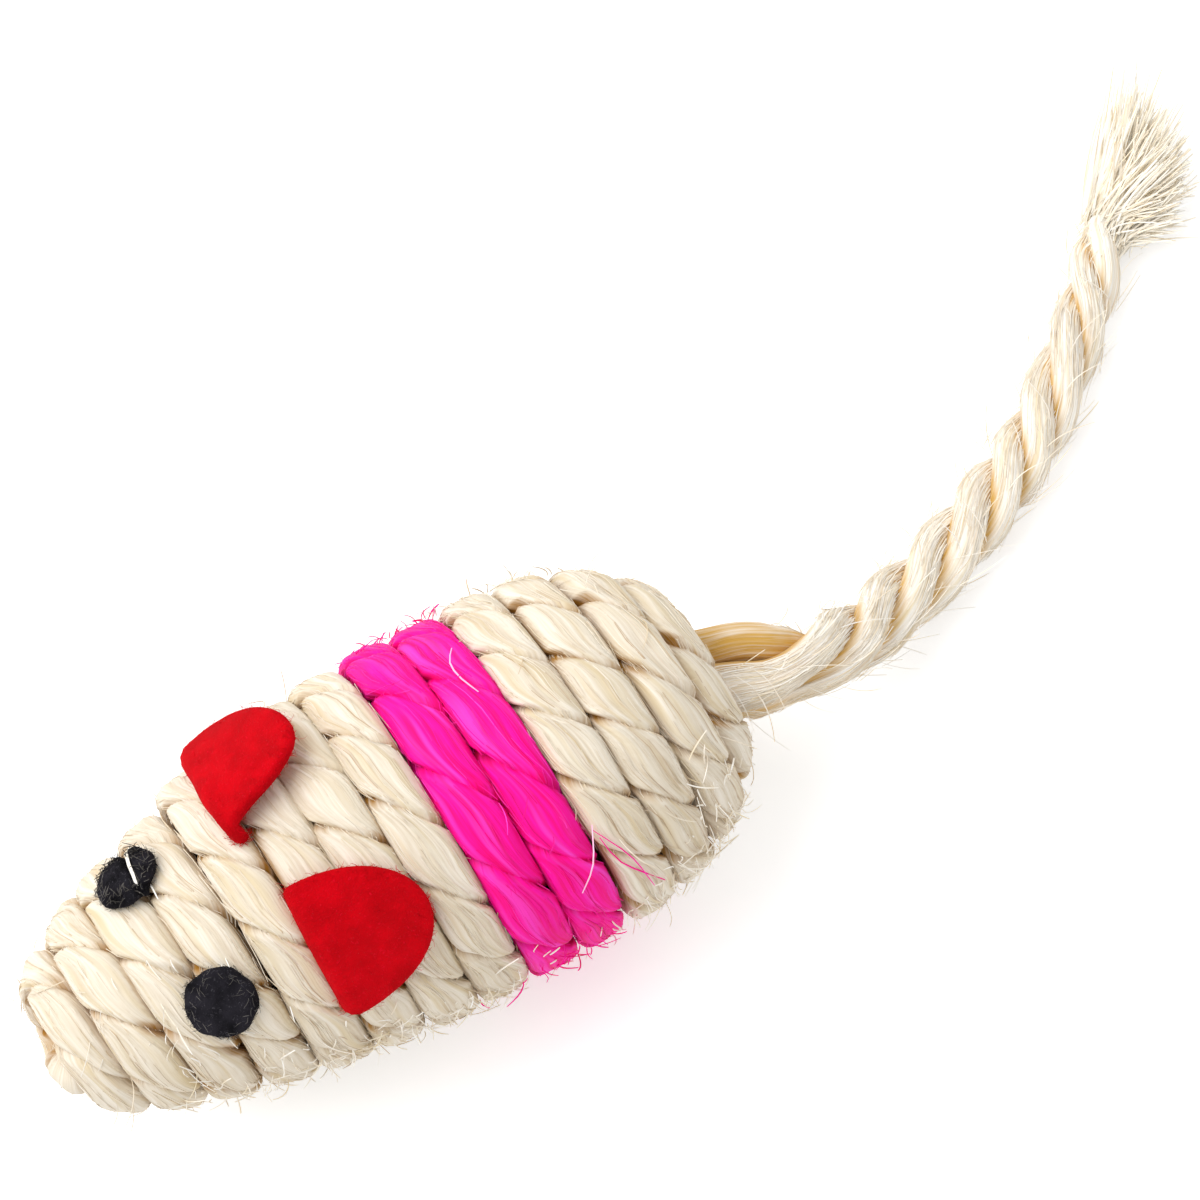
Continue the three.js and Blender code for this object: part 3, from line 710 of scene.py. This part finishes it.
def cut_felt(outline, centre, thickness, place, rng, ripple=0.05):
    """A cut piece of felt: rings from the middle of its back over the rim to the middle of its front.
    Each ring is the outline drawn to its centre by a sine share, which crowds the rings at the rim,
    and place(u, v, w) lays the flat piece in space, w being its height over the middle layer. The
    faces close over the rim in a quarter circle, and both ripple with a few random sine waves."""
    to_rim = 25
    share = np.sin(np.linspace(0.03, 1, to_rim + 1) * np.pi / 2)
    share = np.concatenate([share[:-1], share[::-1]])[:, None]
    face = np.where(np.arange(len(share)) < to_rim, -1, 1)[:, None]
    half = np.max(np.abs(outline - centre)) * (1 - share)
    round_rim = np.sqrt(np.clip(1 - (1 - np.minimum(half / (thickness / 2), 1)) ** 2, 0, 1))
    u = centre[0] + (outline[:, 0] - centre[0]) * share
    v = centre[1] + (outline[:, 1] - centre[1]) * share
    waves = rng.normal(0, 1, (6, 4))
    bumps = sum(np.sin(1.1 * a * u + 1.3 * b * v + 9 * c) * d for a, b, c, d in waves) / 3
    w = face * thickness / 2 * round_rim + ripple * bumps
    return place(u, v, w)


def felt_fuzz(rings, rng, count, length, inner=20):
    """Lines of the fine fibres that stand off felt, in random ways. Their rings are spread round the
    middle one, the rim, by a third of inner."""
    rows = rings.shape[0]
    row = np.clip(rows // 2 + rng.normal(0, inner / 3, count).astype(int), 2, rows - 3)
    column = rng.integers(0, rings.shape[1], count)
    normal = unit(np.cross(np.roll(rings, -1, 1) - np.roll(rings, 1, 1), np.gradient(rings, axis=0)))
    starts, out = rings[row, column], normal[row, column]
    random_way = unit(np.cross(out, rng.normal(0, 1, (count, 3))))
    return curls(starts - 0.05 * out, random_way, out, rng, length, 0.5)


red_felt = felt("red wool felt", "#B8000C", "#CB0010", "#E40E2C")
felt_thickness = 1.3
ear_half_width, ear_depth, ear_lip = 6.5, 10.6, 2.2
ear_way, ear_to_slit = -15.3, 5.3
turn = np.linspace(0, 2 * np.pi, 112, endpoint=False)
lobe = turn < np.pi
reach = np.abs(np.sin(turn))
ear_u = np.sign(np.cos(turn)) * np.where(lobe, (1 - reach**2.2) ** 0.5, (1 - reach**4) ** 0.5)
ear_u *= ear_half_width
ear_v = np.where(lobe, ear_depth, -ear_lip) * np.where(lobe, reach, reach**0.6)
ear_outline = np.stack([ear_u, ear_v], axis=1)

# How far each ear's felt is pulled along u and v, in mm, for 1, s, r, s^2, s r, r^2 and s^3, s and r
# being the shares of its half width and its depth.
near_drape = ((0.3, 0.55, -0.4, 0, 0, 0, 0), (0, 0, 0.65, 0, 0, 0, 0))
far_drape = ((0.84, 0.45, -5.5, -1.65, 1.3, 5.24, 0.39), (-2.35, 0.15, -2.5, 0.12, -0.26, 2.49, 0.43))


def leaned(degrees):
    """The turn of a felt piece's ways about the one that points back: the way round becomes
    cos(a) round - sin(a) outward, and the way outward sin(a) round + cos(a) outward."""
    a = np.radians(degrees)
    return np.array([[np.cos(a), 0, -np.sin(a)], [0, 1, 0], [np.sin(a), 0, np.cos(a)]])


def ear(name, degrees, lift, looseness, roll, rise, drape, rng):
    """One ear: the flat felt is bent round the body, bent down into the slit where v is under 1.5 on
    an arc of 0.9 mm, rolled and raised about its tucked edge, and pulled aside by drape."""
    point, ways = on_the_skin(ear_way, degrees, lift + felt_thickness / 2)
    hinge = point - ear_to_slit * ways[1]
    top = on_the_body(np.array(ear_way), np.array(0.0))[0]
    radius = axis_height - top[2] + twine_radius + lift + felt_thickness / 2 + looseness
    b = np.radians(rise)
    raised = np.array([[1, 0, 0], [0, np.cos(b), np.sin(b)], [0, -np.sin(b), np.cos(b)]])
    ways = raised @ leaned(-roll) @ ways
    bend_start, bend_radius, bend_angle = 1.5, 0.9, 1.45

    def lay(u, v, w):
        """The flat felt's u, v and w in space: pulled, bent into the slit and bent round the body."""
        s, r = u / ear_half_width, np.maximum(v, 0) / ear_depth
        terms = np.stack([1 + 0 * s, s, r, s * s, s * r, r * r, s**3])
        pull_u, pull_v = (np.tensordot(np.array(pull), terms, 1) for pull in drape)
        u = u + pull_u
        down = np.clip((bend_start - v) / bend_radius, 0, bend_angle)
        under = np.maximum((bend_start - v) / bend_radius - bend_angle, 0) * bend_radius
        y = np.maximum(v, bend_start) - (bend_radius + w) * np.sin(down) - under * np.cos(bend_angle)
        y = y + pull_v
        z = (bend_radius + w) * np.cos(down) - bend_radius - under * np.sin(bend_angle)
        x = (radius + z) * np.sin(u / radius)
        z = (radius + z) * np.cos(u / radius) - radius
        return hinge + x[..., None] * ways[0] + y[..., None] * ways[1] + z[..., None] * ways[2]

    rings = cut_felt(ear_outline, (0.0, 4.4), felt_thickness, lay, rng)
    piece = tubes(name, rings[None], red_felt)
    fuzz = felt_fuzz(rings, rng, 700, (0.3, 0.9))
    fuzz = fibres(name + "_fuzz", fuzz, red_felt, rng, radius=0.018)
    for made in (piece, fuzz):
        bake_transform(made)
    return piece


rng = np.random.default_rng(23)
left_ear = ear("ear_left_felt", 31, 0.3, 1, 0, 0, near_drape, rng)
right_ear = ear("ear_right_felt", -34, 0.65, 7, 5.5, 10, far_drape, rng)
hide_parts("ear_left")
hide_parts("ear_right")


# Eyes: discs of black felt 6.6 mm across, punched and glued on the turns, with grey lint on them. The
# right one is creased where it bridges the slit between two turns, and a sisal fibre lies in it.
black_felt = felt("black wool felt", "#0B0A0D", "#26242A", "#5A585E")
grey_lint = felt("grey lint", "#45423F", "#6A6662", "#A09B94")
eye_radius = 3.3
round_outline = eye_radius * np.stack([np.cos(turn), np.sin(turn)], axis=1)
for name, way, degrees, squeeze, tilt, crease in (
    ("eye_left", -29.36, 29.9, 1.0, 0, 0),
    ("eye_right", -31.57, -32.7, 0.95, -5, 1),
):
    point, ways = on_the_skin(way, degrees, 0.85)
    ways = leaned(tilt) @ ways
    ragged = 1 + 0.02 * np.sin(5 * turn + 1) + 0.015 * np.sin(9 * turn + degrees)
    ragged -= 0.14 * crease * np.exp(-(((np.sin(turn) - 0.25) / 0.14) ** 2))

    def lay(u, v, w):
        """The flat disc's u, v and w in space: sagging over the round body, and creased at v = 0.8."""
        w = w - 0.03 * (u**2 + 0.3 * v**2) - 0.75 * crease * np.exp(-(((v - 0.8) / 0.36) ** 2))
        return point + w[..., None] * ways[2] + u[..., None] * ways[0] + v[..., None] * ways[1]

    outline = squeeze * ragged[:, None] * round_outline
    rings = cut_felt(outline, (0.0, 0.0), felt_thickness, lay, rng, ripple=0.09)
    eye = tubes(name + "_felt", rings[None], black_felt)
    fuzz = felt_fuzz(rings, rng, 400, (0.2, 0.7), inner=34)
    fuzz = fibres(name + "_fuzz", fuzz, black_felt, rng, radius=0.018)
    lint = felt_fuzz(rings[25:45], rng, 50 + 90 * crease, (0.4, 1.2), inner=8)
    lint = fibres(name + "_lint", lint, grey_lint, rng, radius=0.022 + 0.018 * crease)
    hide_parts(name)
    for piece in (eye, fuzz, lint):
        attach(piece, "mouse")
eye_hair = laid_hairs([[(-30.2, -46, 0.6), (-30.6, -37, 1.3), (-30.8, -29, 1.2), (-31.2, -21, 0.7)]])
eye_hair = fibres("eye_right_hair", eye_hair, loose_sisal, rng, radius=0.16, deep=0.0)
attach(eye_hair, "mouse")
